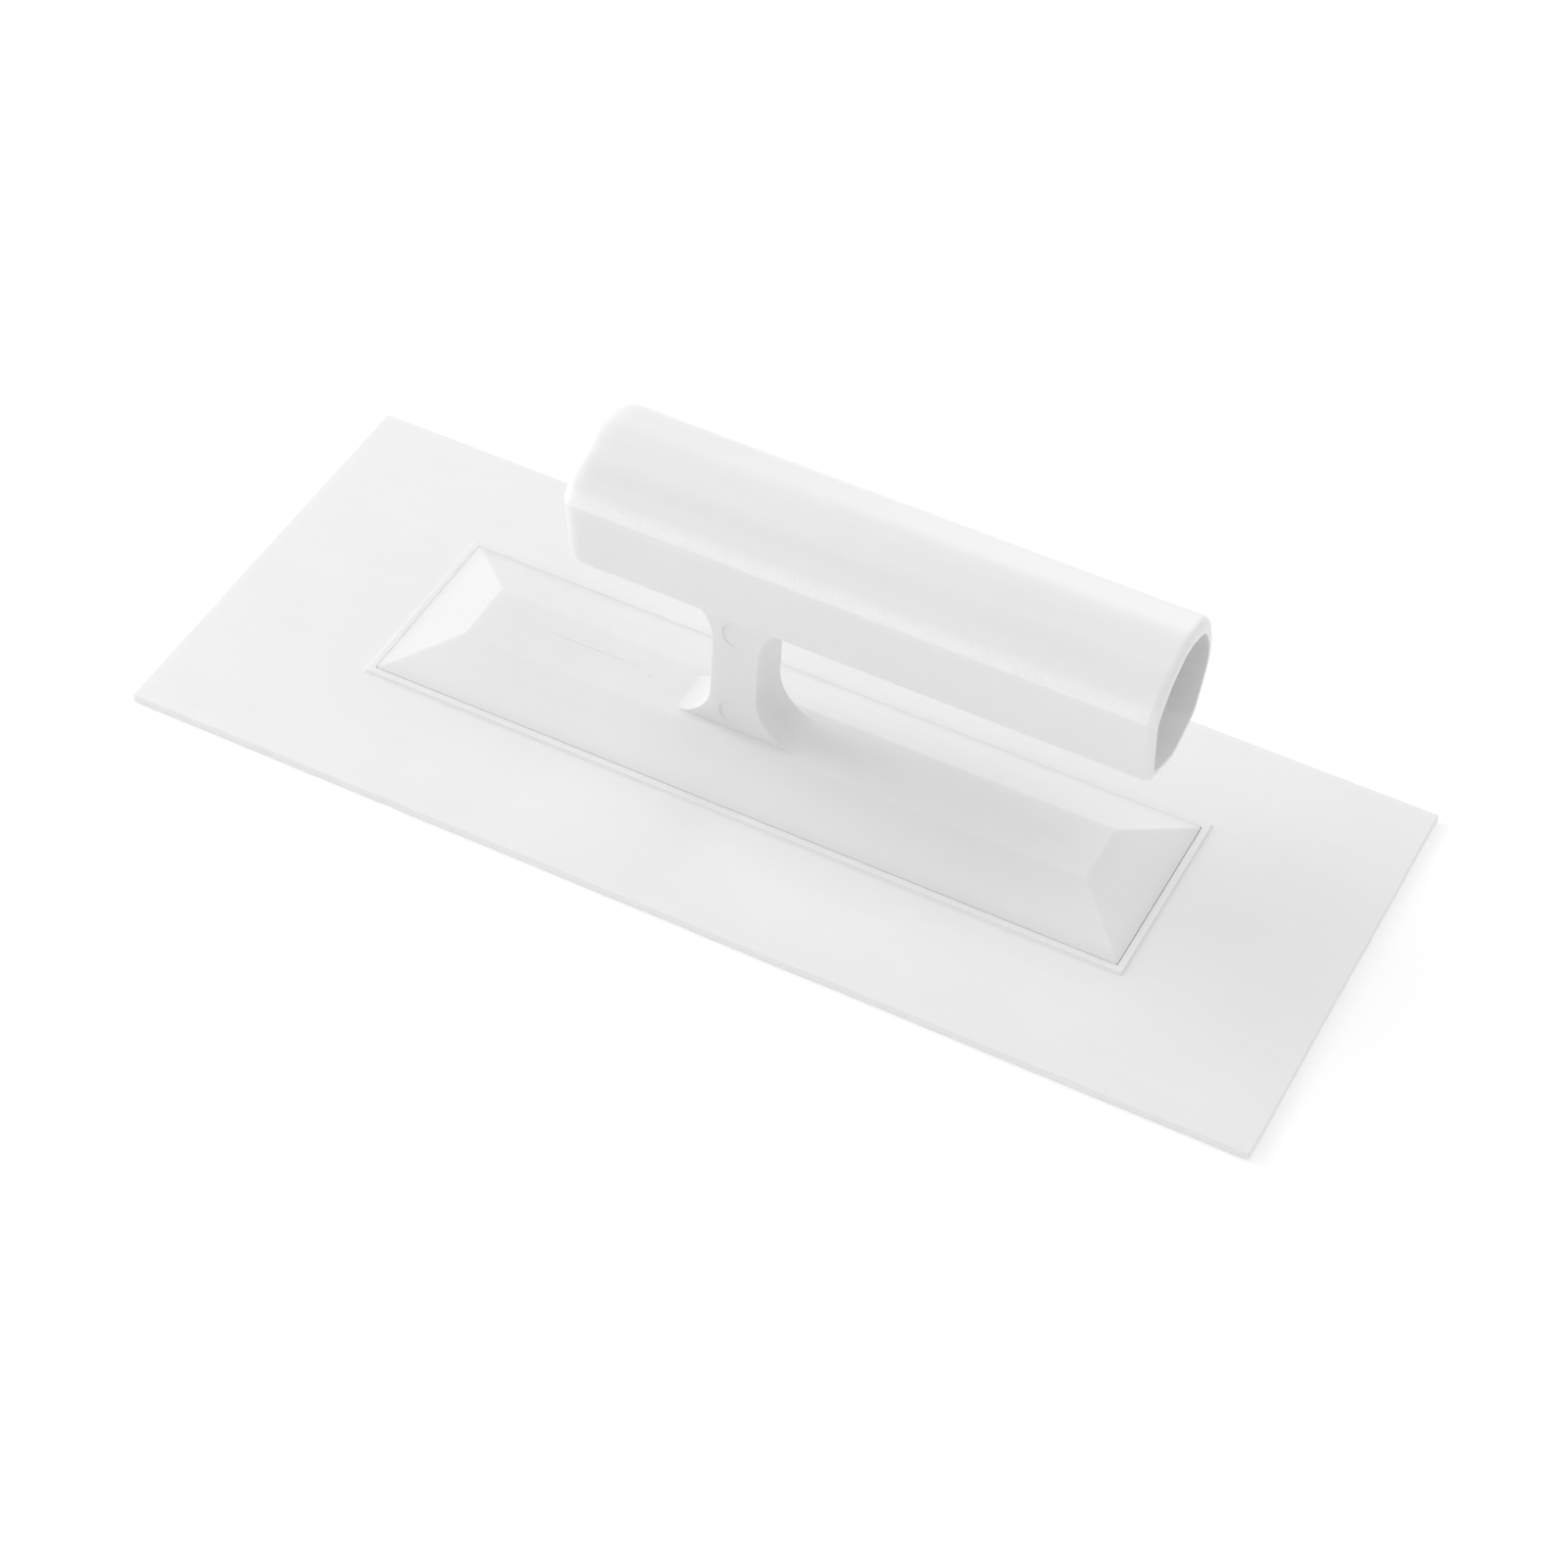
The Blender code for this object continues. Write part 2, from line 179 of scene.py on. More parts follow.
# White plastic lets a little light through
SUBSURFACE_WEIGHT = 0.25
SUBSURFACE_DEPTH = 3.0 * MM

# Camera
CAMERA_PLACE = Vector((0.27043, -0.60911, 0.67324))
CAMERA_TURN = (2.3024, 0.5749, -0.1660)     # turns world axes into the camera's right, down and forward
CAMERA_LENS = 94.2
SENSOR_WIDTH = 36.0

# Studio: name, azimuth and elevation in degrees, power in watts, width and height of each light
LIGHT_DISTANCE = 1.3
LIGHTS = (
    ("key_left", 180.0, 25.0, 6.8, 0.8, 0.8),
    ("key_left_high", 180.0, 60.0, 1.6, 0.8, 0.8),
    ("strip_front", 250.0, 27.0, 1.6, 0.9, 0.15),
    ("fill_right_front", 315.0, 25.0, 0.6, 0.8, 0.8),
    ("fill_back_left", 135.0, 25.0, 1.0, 0.8, 0.8),
    ("fill_back", 90.0, 25.0, 2.9, 0.8, 0.8),
    ("fill_right_high", 0.0, 60.0, 2.6, 0.8, 0.8),
    ("fill_back_right", 45.0, 60.0, 0.6, 0.8, 0.8),
)
WORLD_STRENGTH = 0.46
FLOOR_GLOW = 0.2
FLOOR_SIZE = 6.0
FLOOR_DROP = 0.05 * MM              # how far it lies below the working face


# ---------------------------------------------------------------- mesh helpers

def add_object(name, work):
    """Turn a bmesh into a named object, with its faces pointing out."""
    bmesh.ops.recalc_face_normals(work, faces=work.faces)
    mesh = bpy.data.meshes.new(name)
    work.to_mesh(mesh)
    work.free()
    thing = bpy.data.objects.new(name, mesh)
    bpy.context.scene.collection.objects.link(thing)
    return thing


def loft(name, rings):
    """A closed solid through rings with the same number of points, with a face at each end."""
    work = bmesh.new()
    loops = [[work.verts.new(point) for point in ring] for ring in rings]
    for first, second in zip(loops, loops[1:]):
        count = len(first)
        for i in range(count):
            j = (i + 1) % count
            work.faces.new((first[i], first[j], second[j], second[i]))
    work.faces.new(loops[0])
    work.faces.new(loops[-1])
    return add_object(name, work)


def combine(target, tool, operation):
    """Join the tool to the target, or cut it away, and remove the tool."""
    modifier = target.modifiers.new(operation.lower(), "BOOLEAN")
    modifier.operation = operation
    modifier.solver = "EXACT"
    modifier.object = tool
    depsgraph = bpy.context.evaluated_depsgraph_get()
    made = bpy.data.meshes.new_from_object(target.evaluated_get(depsgraph))
    target.modifiers.clear()
    target.data = made
    bpy.data.objects.remove(tool, do_unlink=True)


def box(name, length, width, low, high, centre=(0.0, 0.0)):
    """An upright box from height low to height high."""
    work = bmesh.new()
    bmesh.ops.create_cube(work, size=1.0)
    bmesh.ops.scale(work, vec=(length, width, high - low), verts=work.verts)
    bmesh.ops.translate(work, vec=(centre[0], centre[1], (low + high) / 2), verts=work.verts)
    return add_object(name, work)


def rounded_rectangle(half_x, half_y, radius, corner_steps=6, side_points=1):
    """Points round a rectangle with rounded corners, from the front right corner, anticlockwise."""
    points = []
    quarters = ((1, -1, -90), (1, 1, 0), (-1, 1, 90), (-1, -1, 180))
    for sign_x, sign_y, start in quarters:
        centre = Vector((sign_x * (half_x - radius), sign_y * (half_y - radius)))
        for step in range(corner_steps + 1):
            angle = math.radians(start + 90 * step / corner_steps)
            points.append(centre + radius * Vector((math.cos(angle), math.sin(angle))))
        run = 2 * (half_y - radius) if start in (-90, 90) else 2 * (half_x - radius)
        ahead = Vector((-math.sin(angle), math.cos(angle)))
        for step in range(1, side_points):
            points.append(points[-step] + ahead * run * step / side_points)
    return points


def level_ring(points, height, centre=(0.0, 0.0)):
    """Place flat points at a height."""
    return [(point[0] + centre[0], point[1] + centre[1], height) for point in points]


def finish_piece(piece, node, material):
    """Shade a piece, give it its material, and let it stand for its CAD node."""
    piece.data.materials.clear()
    piece.data.materials.append(material)
    piece.data.shade_smooth()
    piece.data.set_sharp_from_angle(angle=SMOOTH_ANGLE)
    weighted = piece.modifiers.new("weighted_normals", "WEIGHTED_NORMAL")
    weighted.keep_sharp = True
    weighted.weight = 100
    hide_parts(node)
    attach(piece, "root")


# ---------------------------------------------------------------- blade

def joint_profile():
    """Steps from the rim's outer foot to the groove's inner edge: side offsets, extra offset, height."""
    top = BLADE_HIGH.z
    radius = RIM_EDGE_RADIUS
    turns = [(1 - math.cos(QUARTER * step / 3), 1 - math.sin(QUARTER * step / 3)) for step in range(4)]
    profile = [(RIM_OUTSIDE, 0.0, BLADE_THICKNESS)]
    profile += [(RIM_OUTSIDE, -RIM_SLOPE - radius * out, top - radius * down) for out, down in turns]
    profile += [(RIM_INSIDE, radius * out, top - radius * down) for out, down in reversed(turns)]
    profile.append((RIM_INSIDE, 0.0, BLADE_THICKNESS))
    land = (0.0, 0.0, 0.0, 0.0)
    groove_floor = BLADE_THICKNESS - GROOVE_DEPTH
    profile.append((land, -GROOVE_SETBACK, BLADE_THICKNESS))
    profile.append((land, -GROOVE_SETBACK, groove_floor))
    profile.append((land, -GROOVE_SETBACK - GROOVE_WIDTH, groove_floor))
    profile.append((land, -GROOVE_SETBACK - GROOVE_WIDTH, BLADE_THICKNESS))
    return profile


def joint_ring(sides, extra, height):
    """A ring round the base, at a stated distance outside each of its four sides."""
    left, right, front, back = (side + extra for side in sides)
    half_x = (BASE_LENGTH + left + right) / 2
    half_y = (BASE_WIDTH + front + back) / 2
    centre = (BASE_CENTRE.x + (right - left) / 2, BASE_CENTRE.y + (back - front) / 2)
    outline = rounded_rectangle(half_x, half_y, RIM_CORNER_RADIUS, 4, BLADE_SIDE_POINTS)
    return level_ring(outline, height, centre)


def edge_wander(point):
    """How far the blade's trimmed edge strays inwards at a point on it."""
    slow = noise.noise(Vector((point[0] * 45, point[1] * 45, 3.1)))
    fast = noise.noise(Vector((point[0] * 260, point[1] * 260, 8.7)))
    return BLADE_EDGE_WANDER * min(max(0.4 + 0.5 * slow + 0.35 * fast, 0.0), 1.0)


def blade_outline(inset):
    """The blade's outline, with its slight unevenness and the gate nick in its front edge."""
    half_x = (BLADE_HIGH.x - BLADE_LOW.x) / 2
    half_y = (BLADE_HIGH.y - BLADE_LOW.y) / 2
    points = []
    for point in rounded_rectangle(half_x, half_y, BLADE_CORNER_RADIUS, 4, BLADE_SIDE_POINTS):
        depth = inset + edge_wander(point)
        if point.y < 0:
            depth += NICK_DEPTH * math.exp(-((point.x - NICK_X) / NICK_WIDTH) ** 2)
        points.append(Vector((point.x * (1 - depth / half_x), point.y * (1 - depth / half_y))))
    return points


def make_blade(material):
    """The blade: one skin from the underside, over the edge, the rim and the groove, to the middle."""
    rings = []
    radius = BLADE_EDGE_RADIUS
    for step in range(4):
        angle = QUARTER * step / 3
        outline = blade_outline(radius * (1 - math.sin(angle)))
        rings.append(level_ring(outline, radius * (1 - math.cos(angle))))
    for step in range(4):
        angle = QUARTER * step / 3
        height = BLADE_THICKNESS - radius * (1 - math.sin(angle))
        rings.append(level_ring(blade_outline(radius * (1 - math.cos(angle))), height))
    rings += [joint_ring(*step) for step in joint_profile()]
    blade = loft("float_blade", rings)
    finish_piece(blade, "blade", material)


# ---------------------------------------------------------------- handle

def roof_half(full, flat, height, inset=0.0):
    """Half the roof's size at a height, on faces moved inwards by inset."""
    slope = math.atan2(BASE_TOP - BASE_EAVES, (full - flat) / 2)
    return full / 2 - (height - BASE_EAVES) / math.tan(slope) - inset / math.sin(slope)


def roof_ring(height, inset=0.0, level=None, radius=BASE_HIP_RADIUS, shrink=0.0):
    """The roof's outline at a height, drawn at that height or at another level."""
    half_x = roof_half(BASE_LENGTH, BASE_FLAT_LENGTH, height, inset) - shrink
    half_y = roof_half(BASE_WIDTH, BASE_FLAT_WIDTH, height, inset) - shrink
    return level_ring(rounded_rectangle(half_x, half_y, radius), height if level is None else level)


def make_base():
    """The base's outer shape, with soft hips and ridges."""
    slope = math.atan2(BASE_TOP - BASE_EAVES, (BASE_WIDTH - BASE_FLAT_WIDTH) / 2)
    reach = BASE_RIDGE_RADIUS * math.tan(slope / 2)
    rings = [roof_ring(BASE_EAVES, level=BASE_FOOT), roof_ring(BASE_EAVES)]
    steps = 5
    for step in range(steps + 1):
        angle = slope * (1 - step / steps)
        height = BASE_TOP - BASE_RIDGE_RADIUS * (1 - math.cos(angle))
        shrink = reach - BASE_RIDGE_RADIUS * math.sin(angle)
        rings.append(roof_ring(BASE_TOP, level=height, shrink=shrink))
    return loft("float_handle", rings)


def make_pockets():
    """The hollow under the base, less the ribs that stand in it."""
    rings = [roof_ring(BASE_FOOT, BASE_WALL, level=BASE_FOOT - OVERCUT)]
    rings.append(roof_ring(BASE_FOOT, BASE_WALL))
    rings.append(roof_ring(BASE_TOP - BASE_WALL, BASE_WALL))
    pockets = loft("pockets", rings)
    combine(pockets, box("rib_long", BASE_LENGTH, RIB_THICKNESS, RIB_FOOT, BASE_TOP), "DIFFERENCE")
    for i in range(CROSS_RIB_COUNT):
        x = (i - (CROSS_RIB_COUNT - 1) / 2) * CROSS_RIB_PITCH
        rib = box("rib_cross", RIB_THICKNESS, BASE_WIDTH, RIB_FOOT, BASE_TOP, (x, 0.0))
        combine(pockets, rib, "DIFFERENCE")
    return pockets


def flare(radius, rise):
    """How far a flare of this radius stands out, at a distance back from where it turns level."""
    if rise >= radius:
        return 0.0
    return radius - math.sqrt(radius ** 2 - (radius - rise) ** 2)


def make_post():
    """The post, with rounded upright edges and a flared foot and head."""
    foot_top = POST_FOOT_LEVEL + POST_FOOT_RADIUS_RIGHT
    head_low = POST_HEAD_LEVEL - POST_HEAD_RADIUS
    turns = [1 - math.cos(QUARTER * step / POST_STEPS) for step in range(POST_STEPS + 1)]
    heights = [BASE_TOP - BASE_WALL / 2]
    heights += [POST_FOOT_LEVEL + (foot_top - POST_FOOT_LEVEL) * turn for turn in turns]
    heights += [POST_HEAD_LEVEL - (POST_HEAD_LEVEL - head_low) * turn for turn in reversed(turns)]
    heights.append(POST_HEAD)
    rings = []
    for height in heights:
        foot_rise = max(height - POST_FOOT_LEVEL, 0.0)
        head = flare(POST_HEAD_RADIUS, max(POST_HEAD_LEVEL - height, 0.0))
        left = POST_LEFT - flare(POST_FOOT_RADIUS_LEFT, foot_rise) - head
        right = POST_RIGHT + flare(POST_FOOT_RADIUS_RIGHT, foot_rise) + head
        outline = rounded_rectangle((right - left) / 2, POST_DEPTH / 2, POST_EDGE_RADIUS, 4)
        rings.append(level_ring(outline, height, ((left + right) / 2, 0.0)))
    return loft("post", rings)


def make_parting_line():
    """The raised parting line along the base's flat top, left of the post: a step that falls backwards."""
    rings = []
    for share in (0.0, 0.08, 0.3, 0.6, 0.92, 1.0):
        x = PARTING_LEFT + (PARTING_RIGHT - PARTING_LEFT) * share
        swell = 0.4 + 0.6 * math.sin(math.pi * share)
        half = PARTING_WIDTH / 2 * swell
        top = BASE_TOP + PARTING_HEIGHT * swell
        low = BASE_TOP - BASE_WALL / 2
        back = PARTING_Y + half
        front = PARTING_Y - half
        back_top = BASE_TOP + PARTING_BACK_HEIGHT
        rings.append([(x, front, low), (x, back, low), (x, back, back_top), (x, front, top)])
    return loft("parting_line", rings)


def make_ejector_cut(x, height, radius):
    """A disc set askew in the post's front face: deepest at its left edge, proud at its right."""
    work = bmesh.new()
    bmesh.ops.create_cone(work, segments=64, radius1=radius, radius2=radius, depth=OVERCUT, cap_ends=True)
    lean = Matrix.Rotation(EJECTOR_DEPTH / radius * (1 - EJECTOR_MIDDLE), 4, Vector((0.0, -1.0, 0.0)))
    face = Matrix.Rotation(QUARTER, 4, "X")
    place = Matrix.Translation((x, -POST_DEPTH / 2 - OVERCUT / 2 + EJECTOR_DEPTH * EJECTOR_MIDDLE, height))
    bmesh.ops.transform(work, matrix=place @ face @ lean, verts=work.verts)
    return add_object("ejector_cut", work)


def inset_corners(corners, inset):
    """Move a convex outline's sides inwards; each corner's radius shrinks with it."""
    moved = []
    count = len(corners)
    for i, (y, z, radius) in enumerate(corners):
        here = Vector((y, z))
        before = (here - Vector(corners[i - 1][:2])).normalized()
        after = (Vector(corners[(i + 1) % count][:2]) - here).normalized()
        normal_before = Vector((before.y, -before.x))
        normal_after = Vector((after.y, -after.x))
        bisector = (normal_before + normal_after).normalized()
        place = here + bisector * (inset / bisector.dot(normal_before))
        moved.append((place.x, place.y, max(radius - inset, 0.8 * MM)))
    return moved


def rounded_outline(corners, steps):
    """Points round a closed outline whose corners are arcs of the stated radii."""
    points = []
    count = len(corners)
    for i, (y, z, radius) in enumerate(corners):
        here = Vector((y, z))
        to_before = Vector(corners[i - 1][:2]) - here
        to_after = Vector(corners[(i + 1) % count][:2]) - here
        room = min(to_before.length, to_after.length) / 2
        to_before.normalize()
        to_after.normalize()
        half_angle = to_before.angle(to_after) / 2
        reach = min(radius / math.tan(half_angle), room)
        arc_radius = reach * math.tan(half_angle)
        centre = here + (to_before + to_after).normalized() * (arc_radius / math.sin(half_angle))
        start = here + to_before * reach - centre
        end = here + to_after * reach - centre
        for step in range(steps + 1):
            share = step / steps
            arm = (start * (1 - share) + end * share).normalized() * arc_radius
            points.append(centre + arm)
    return points


def section(corners, inset=0.0):
    """An outline across the grip, with its sides moved inwards by inset."""
    if inset:
        corners = inset_corners(corners, inset)
    return rounded_outline(corners, GRIP_ARC_STEPS)


def ring_at(outline, x):
    """Place a section outline at the distance x along the grip."""
    return [(x, point.x, point.y) for point in outline]


def shrunk(outline, scale):
    """Scale an outline about the middle of the grip's closed end."""
    middle = Vector((0.0, GRIP_END_HEIGHT))
    return [middle + (point - middle) * scale for point in outline]


def make_grip():
    """The grip's outer shape: rounded closed end, straight tube, rounded rim."""
    outline = section(GRIP_SECTION)
    rings = []
    for step in range(GRIP_END_RINGS + 1):
        angle = QUARTER * step / GRIP_END_RINGS
        along = math.cos(angle) ** (2 / GRIP_END_POWER)
        scale = math.sin(angle) ** (2 / GRIP_END_POWER)
        if scale >= GRIP_END_FACE:
            rings.append(ring_at(shrunk(outline, scale), GRIP_LEFT + GRIP_END_LENGTH * (1 - along)))
    for step in range(GRIP_RIM_RINGS + 1):
        angle = QUARTER * step / GRIP_RIM_RINGS
        inset = GRIP_RIM_RADIUS * (1 - math.cos(angle))
        x = GRIP_RIGHT - GRIP_RIM_RADIUS * (1 - math.sin(angle))
        rings.append(ring_at(section(GRIP_SECTION, inset), x))
    return loft("grip", rings)


def make_bore():
    """The hollow inside the grip, open at its right end, with a tiny chamfer at its mouth."""
    outline = section(BORE_SECTION)
    rings = []
    for share in (0.0, 0.1, 0.25, 0.5, 1.0):
        x = BORE_LEFT + 4 * MM * share ** 2
        rings.append(ring_at(shrunk(outline, 0.8 + 0.2 * math.sqrt(1 - (1 - share) ** 2)), x))
    rings.append(ring_at(outline, GRIP_RIGHT - BORE_LIP))
    rings.append(ring_at(section(BORE_SECTION, -2 * BORE_LIP), GRIP_RIGHT + BORE_LIP))
    return loft("bore", rings)


def make_handle(material):
    """Base, post and grip, joined as the one moulding that they are."""
    handle = make_base()
    combine(handle, make_pockets(), "DIFFERENCE")
    combine(handle, make_post(), "UNION")
    combine(handle, make_grip(), "UNION")
    combine(handle, make_bore(), "DIFFERENCE")
    combine(handle, make_parting_line(), "UNION")
    for mark in EJECTOR_MARKS:
        combine(handle, make_ejector_cut(*mark), "DIFFERENCE")
    handle.data.transform(Matrix.Translation((BASE_CENTRE.x, BASE_CENTRE.y, 0.0)))
    finish_piece(handle, "handle", material)


# ---------------------------------------------------------------- materials

def new_material(name):
    """A node material, its node tree and its shader."""
    material = bpy.data.materials.new(name)
    material.use_nodes = True
    tree = material.node_tree
    return material, tree, tree.nodes["Principled BSDF"]


def add_noise(tree, coordinates, scale, detail, stretch=(1.0, 1.0, 1.0)):
    """Noise in the object's own space, in features per metre."""
    mapping = tree.nodes.new("ShaderNodeMapping")
    mapping.inputs["Scale"].default_value = [scale * s for s in stretch]
    texture = tree.nodes.new("ShaderNodeTexNoise")
    texture.inputs["Scale"].default_value = 1.0
    texture.inputs["Detail"].default_value = detail
    tree.links.new(coordinates.outputs["Object"], mapping.inputs["Vector"])
    tree.links.new(mapping.outputs["Vector"], texture.inputs["Vector"])
    return texture.outputs["Fac"]


def add_range(tree, value, low, high, to_low, to_high):
    """Map a value's range onto another."""
    node = tree.nodes.new("ShaderNodeMapRange")
    node.inputs["From Min"].default_value = low
    node.inputs["From Max"].default_value = high
    node.inputs["To Min"].default_value = to_low
    node.inputs["To Max"].default_value = to_high
    tree.links.new(value, node.inputs["Value"])
    return node.outputs["Result"]


def add_math(tree, operation, first, second):
    """A Math node on two values, either of which may be a number."""
    node = tree.nodes.new("ShaderNodeMath")
    node.operation = operation
    for socket, value in zip(node.inputs, (first, second)):
        if isinstance(value, (int, float)):
            socket.default_value = value
        else:
            tree.links.new(value, socket)
    return node.outputs["Value"]


def add_specks(tree, coordinates, spacing, radius, share):
    """1 on sparse round specks: their spacing, their radius, and the share of places that has one."""
    cells = tree.nodes.new("ShaderNodeTexVoronoi")
    cells.inputs["Scale"].default_value = 1.0 / spacing
    tree.links.new(coordinates.outputs["Object"], cells.inputs["Vector"])
    near = add_range(tree, cells.outputs["Distance"], radius / spacing * 0.6, radius / spacing, 1.0, 0.0)
    chosen = add_math(tree, "LESS_THAN", cells.outputs["Color"], share)
    return add_math(tree, "MULTIPLY", near, chosen)


def add_painted_highlight_band(tree, coordinates):
    """Mask of the painted highlight band: 1 on the facet above the grip's front edge, fading towards the
    crown and broken up by noise.
    """
    axes = tree.nodes.new("ShaderNodeSeparateXYZ")
    tree.links.new(coordinates.outputs["Object"], axes.inputs["Vector"])
    foot_y, foot_z = PAINTED_HIGHLIGHT_FOOT
    across_y, across_z = PAINTED_HIGHLIGHT_ACROSS
    y = add_math(tree, "SUBTRACT", axes.outputs["Y"], foot_y)
    z = add_math(tree, "SUBTRACT", axes.outputs["Z"], foot_z)
    across = add_math(tree, "MULTIPLY", y, across_y)
    across = add_math(tree, "ADD", across, add_math(tree, "MULTIPLY", z, across_z))
    depth = add_math(tree, "MULTIPLY", y, -across_z)
    depth = add_math(tree, "ADD", depth, add_math(tree, "MULTIPLY", z, across_y))
    depth = add_math(tree, "ABSOLUTE", depth, 0.0)
    rise = add_range(tree, across, *PAINTED_HIGHLIGHT_RISE, 0.0, 1.0)
    fade = add_range(tree, across, PAINTED_HIGHLIGHT_WIDTH * 0.4, PAINTED_HIGHLIGHT_WIDTH, 1.0, 0.0)
    near = add_range(tree, depth, *PAINTED_HIGHLIGHT_REACH, 1.0, 0.0)
    patches = add_range(tree, add_noise(tree, coordinates, 700, 3.0, (0.3, 1.0, 1.0)), 0.3, 0.6, 0.5, 1.0)
    mask = add_math(tree, "MULTIPLY", add_math(tree, "MULTIPLY", rise, fade), near)
    return add_math(tree, "MULTIPLY", mask, patches)


def add_mix(tree, factor, first, second):
    """Mix two colours, either of which may be a socket."""
    node = tree.nodes.new("ShaderNodeMix")
    node.data_type = "RGBA"
    tree.links.new(factor, node.inputs["Factor"])
    for socket, value in ((node.inputs["A"], first), (node.inputs["B"], second)):
        if isinstance(value, tuple):
            socket.default_value = (*value, 1.0)
        else:
            tree.links.new(value, socket)
    return node.outputs["Result"]


def white_plastic(name, light, dark, roughness, with_painted_highlight=False):
    """White moulded plastic: faint flow streaks and mottling, fine moulding texture, rare specks, and if
    asked a painted highlight band.
    """
    material, tree, shader = new_material(name)
    coordinates = tree.nodes.new("ShaderNodeTexCoord")
    mottling = add_noise(tree, coordinates, 60, 3.0)
    streaks = add_noise(tree, coordinates, 420, 2.0, (0.05, 1.0, 1.0))
    grain = add_noise(tree, coordinates, 1500, 2.0)
    ripple = add_noise(tree, coordinates, 160, 2.0, (0.35, 1.0, 1.0))
    tint = add_math(tree, "ADD", add_math(tree, "MULTIPLY", streaks, 0.7), mottling)
    colour = add_mix(tree, add_range(tree, tint, 0.6, 1.1, 0.0, 1.0), dark, light)
    specks = add_specks(tree, coordinates, SPECK_SPACING, SPECK_RADIUS, SPECK_SHARE)
    colour = add_mix(tree, add_math(tree, "MULTIPLY", specks, 0.7), colour, SPECK_COLOUR)
    gloss = add_math(tree, "ADD", mottling, grain)
    rough = add_range(tree, gloss, 0.6, 1.4, roughness - 0.06, roughness + 0.08)
    # The lighter colour along the band is a painted highlight; its lower roughness is real, smoother
    # plastic.
    if with_painted_highlight:
        highlight_band = add_painted_highlight_band(tree, coordinates)
        colour = add_mix(tree, highlight_band, colour, PAINTED_HIGHLIGHT_COLOUR)
        rough = add_math(tree, "SUBTRACT", rough, add_math(tree, "MULTIPLY", highlight_band, 0.1))
    tree.links.new(colour, shader.inputs["Base Color"])
    tree.links.new(rough, shader.inputs["Roughness"])
    height = add_math(tree, "ADD", add_math(tree, "MULTIPLY", grain, 0.12), ripple)
    bump = tree.nodes.new("ShaderNodeBump")
    bump.inputs["Strength"].default_value = BUMP_STRENGTH
    bump.inputs["Distance"].default_value = BUMP_DEPTH
    tree.links.new(height, bump.inputs["Height"])
    tree.links.new(bump.outputs["Normal"], shader.inputs["Normal"])
    shader.inputs["IOR"].default_value = 1.5
    shader.inputs["Subsurface Weight"].default_value = SUBSURFACE_WEIGHT
    shader.inputs["Subsurface Radius"].default_value = (1.0, 1.0, 1.0)
    shader.inputs["Subsurface Scale"].default_value = SUBSURFACE_DEPTH
    return material


def clear_adhesive():
    """Set adhesive: amber-tinted, glossy, with small bubbles."""
    material, tree, shader = new_material("clear_adhesive")
    coordinates = tree.nodes.new("ShaderNodeTexCoord")
    bubbles = add_noise(tree, coordinates, 900, 1.0)
    colour = add_mix(tree, bubbles, (0.72, 0.69, 0.60), (0.82, 0.80, 0.74))
    tree.links.new(colour, shader.inputs["Base Color"])
    tree.links.new(add_range(tree, bubbles, 0.3, 0.7, 0.15, 0.35), shader.inputs["Roughness"])
    return material


# ---------------------------------------------------------------- surroundings

def make_floor():
    """A plain pale floor, a little below the working face."""
    work = bmesh.new()
    bmesh.ops.create_grid(work, x_segments=1, y_segments=1, size=FLOOR_SIZE)
    floor = add_object("floor", work)
    floor.location.z = BLADE_LOW.z - FLOOR_DROP
    material, _, shader = new_material("pale_floor")
    shader.inputs["Base Color"].default_value = (0.9, 0.9, 0.9, 1.0)
    shader.inputs["Roughness"].default_value = 0.9
    shader.inputs["Specular IOR Level"].default_value = 0.2
    shader.inputs["Emission Color"].default_value = (1.0, 1.0, 1.0, 1.0)
    shader.inputs["Emission Strength"].default_value = FLOOR_GLOW
    floor.data.materials.append(material)


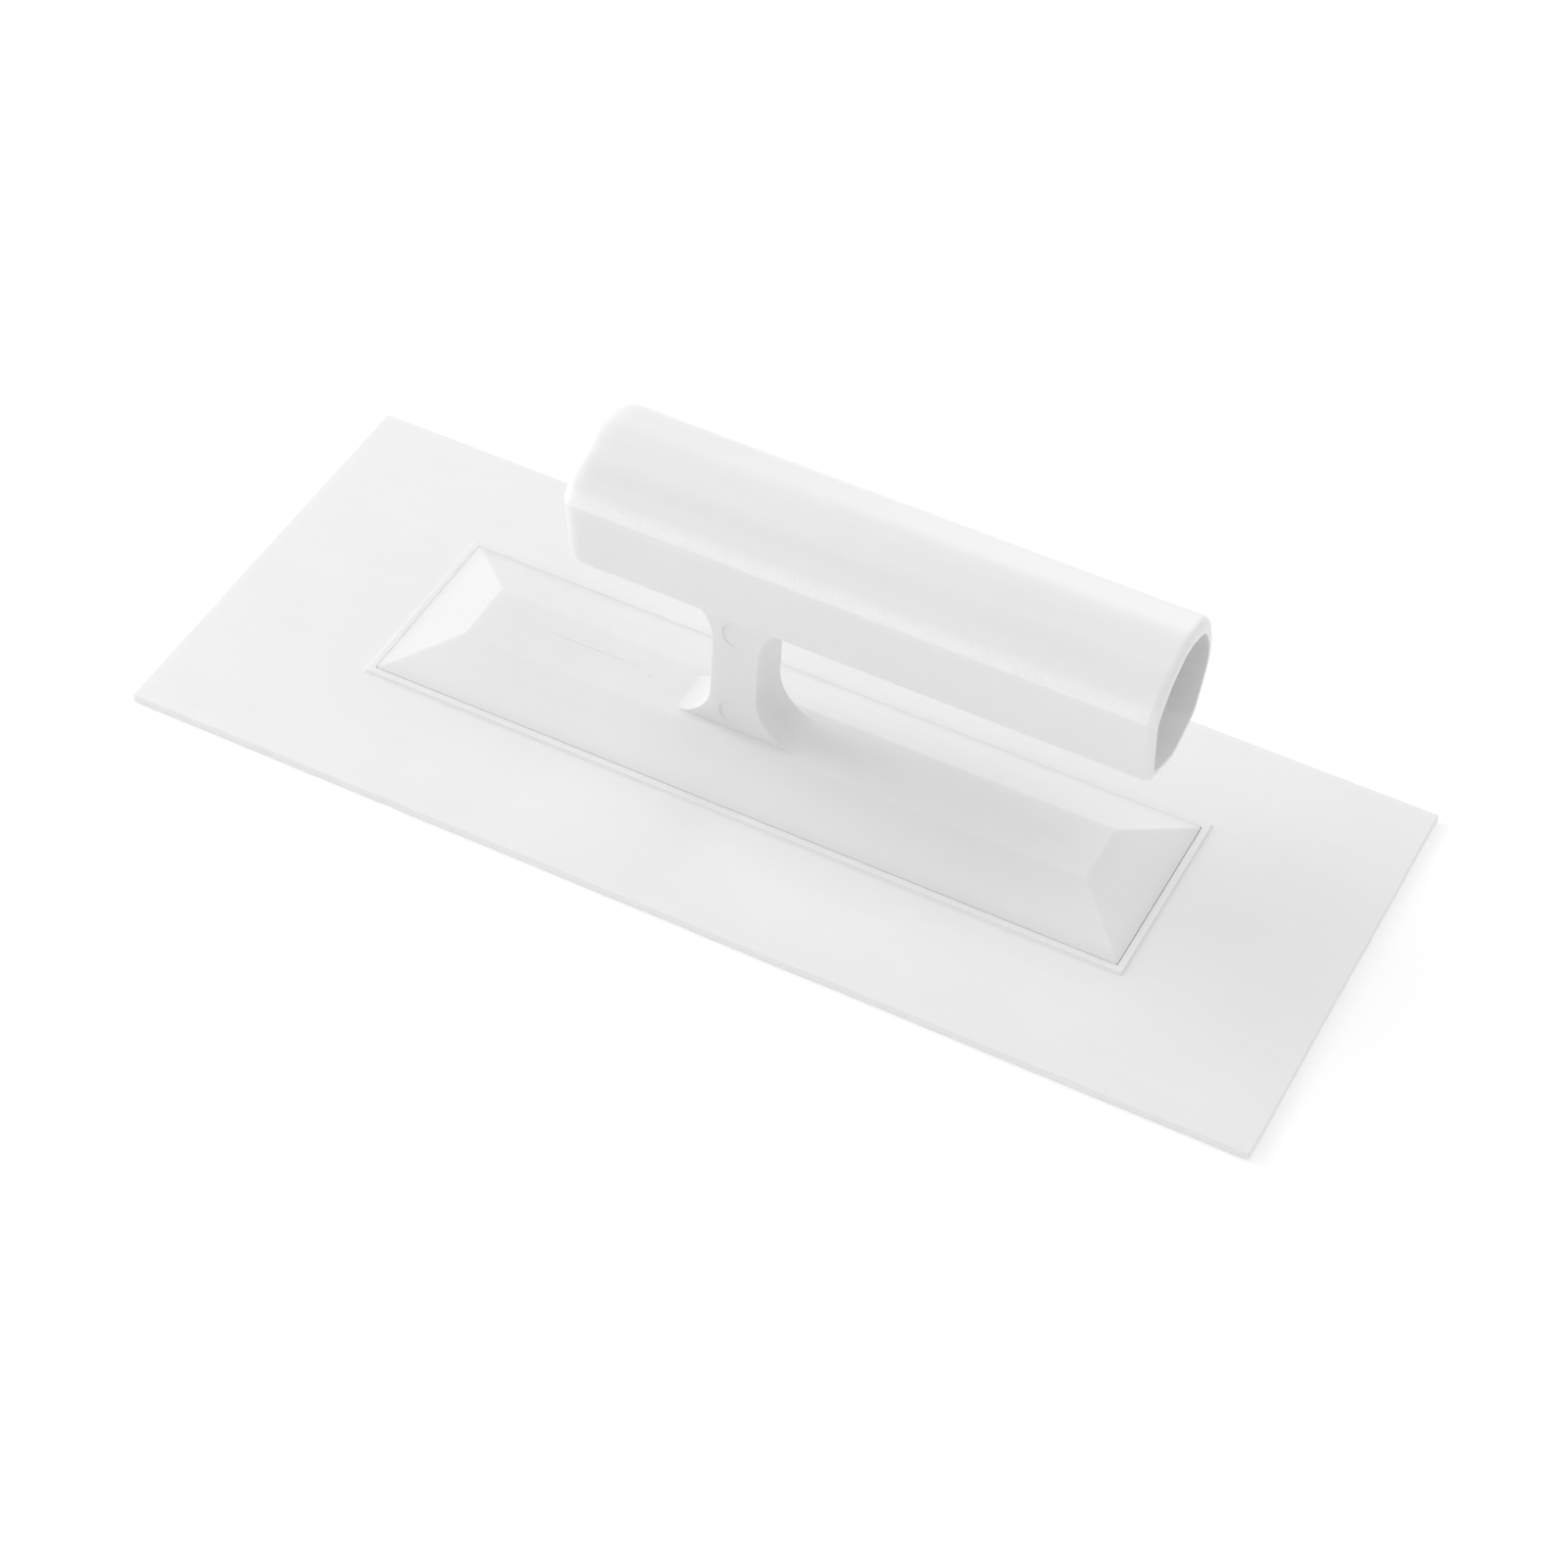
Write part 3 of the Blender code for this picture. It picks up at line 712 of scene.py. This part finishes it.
def make_light(name, azimuth, elevation, power, width, height):
    """A rectangular soft light, aimed at the middle of the blade; azimuth is anticlockwise from +X."""
    around, up = math.radians(azimuth), math.radians(elevation)
    away = Vector((math.cos(around) * math.cos(up), math.sin(around) * math.cos(up), math.sin(up)))
    data = bpy.data.lights.new(name, "AREA")
    data.shape = "RECTANGLE"
    data.size = width
    data.size_y = height
    data.energy = power
    lamp = bpy.data.objects.new(name, data)
    lamp.location = away * LIGHT_DISTANCE
    lamp.rotation_euler = (-away).to_track_quat("-Z", "Y").to_euler()
    bpy.context.scene.collection.objects.link(lamp)


def make_studio():
    """Even pale surroundings, with soft lights round the float, strongest on its left."""
    world = bpy.data.worlds.new("studio")
    bpy.context.scene.world = world
    world.use_nodes = True
    background = world.node_tree.nodes["Background"]
    background.inputs["Color"].default_value = (1.0, 1.0, 1.0, 1.0)
    background.inputs["Strength"].default_value = WORLD_STRENGTH
    for light in LIGHTS:
        make_light(*light)
    bpy.context.scene.view_settings.view_transform = "Standard"


def make_camera():
    """The camera, from its place and turn."""
    data = bpy.data.cameras.new("camera")
    data.lens = CAMERA_LENS
    data.sensor_width = SENSOR_WIDTH
    camera = bpy.data.objects.new("camera", data)
    turn = Vector(CAMERA_TURN)
    rows = Matrix.Rotation(turn.length, 3, turn.normalized())
    axes = Matrix((rows[0], -rows[1], -rows[2])).transposed()
    camera.matrix_world = Matrix.Translation(CAMERA_PLACE) @ axes.to_4x4()
    bpy.context.scene.collection.objects.link(camera)
    bpy.context.scene.camera = camera


make_camera()
make_studio()
make_floor()
sheet = white_plastic("white_sheet", SHEET_LIGHT, SHEET_DARK, SHEET_ROUGHNESS)
# The moulding gets the painted highlight band above the grip's front edge.
moulding = white_plastic("white_moulding", MOULDING_LIGHT, MOULDING_DARK, MOULDING_ROUGHNESS, with_painted_highlight=True)
make_blade(sheet)
make_handle(moulding)
adhesive = clear_adhesive()
for bond in ("perimeter_bond", "rib_bond"):
    bond_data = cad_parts[bond].data
    bond_data.materials.clear()
    bond_data.materials.append(adhesive)
